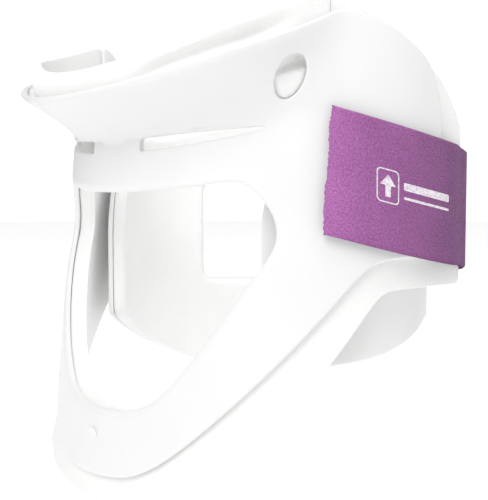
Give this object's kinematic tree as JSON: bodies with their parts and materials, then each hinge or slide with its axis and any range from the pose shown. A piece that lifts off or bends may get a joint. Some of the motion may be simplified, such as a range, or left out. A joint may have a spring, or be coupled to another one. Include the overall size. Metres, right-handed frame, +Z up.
{
  "type": "cervical collar",
  "caption": "Rigid wrap-around neck collar: foam-lined plastic shell with chin brim, throat window and wings, windowed back panel and a hook-and-loop strap.",
  "frame": {"origin": "on the neck axis, level with the lowest edge of the foam bib", "axes": "+Z up along the neck, chin towards -Y, the wearer's left (strap side) towards +X"},
  "size_m": [0.1647, 0.134, 0.1592],
  "materials": {
    "shell": "glossy white polyethylene sheet",
    "foam": "white closed-cell foam",
    "strap": "purple brushed loop fabric",
    "hook": "pale hook tape",
    "loop": "white loop tape",
    "rivet": "white nylon"
  },
  "bodies": {
    "front": {"front_shell": "shell", "front_liner": "foam", "chin_pad": "foam", "bib_rivet": "rivet", "loop_patch": "loop", "side_rivets": "rivet", "side_washers": "rivet", "right_overlap_shell": "shell", "right_overlap_liner": "foam"},
    "back": {"back_shell": "shell", "back_liner": "foam", "strap_tab": "strap", "strap_rivets": "rivet", "strap_washers": "rivet"},
    "strap": {"strap": "strap", "hook_tape": "hook"}
  },
  "joints": [
    {"name": "back_opens", "type": "hinge", "parent": "front", "child": "back", "pos_m": [-0.06341, 0.0205, 0.08], "axis": [0, 0, 1], "range_deg": [0, 50]},
    {"name": "strap_peels", "type": "hinge", "parent": "back", "child": "strap", "pos_m": [0.0799, 0.0219, 0.095], "axis": [0, 0, 1], "range_deg": [0, 100]}
  ],
  "couplings": [
    {"joint": "strap_peels", "follows": "back_opens", "ratio": 2}
  ]
}
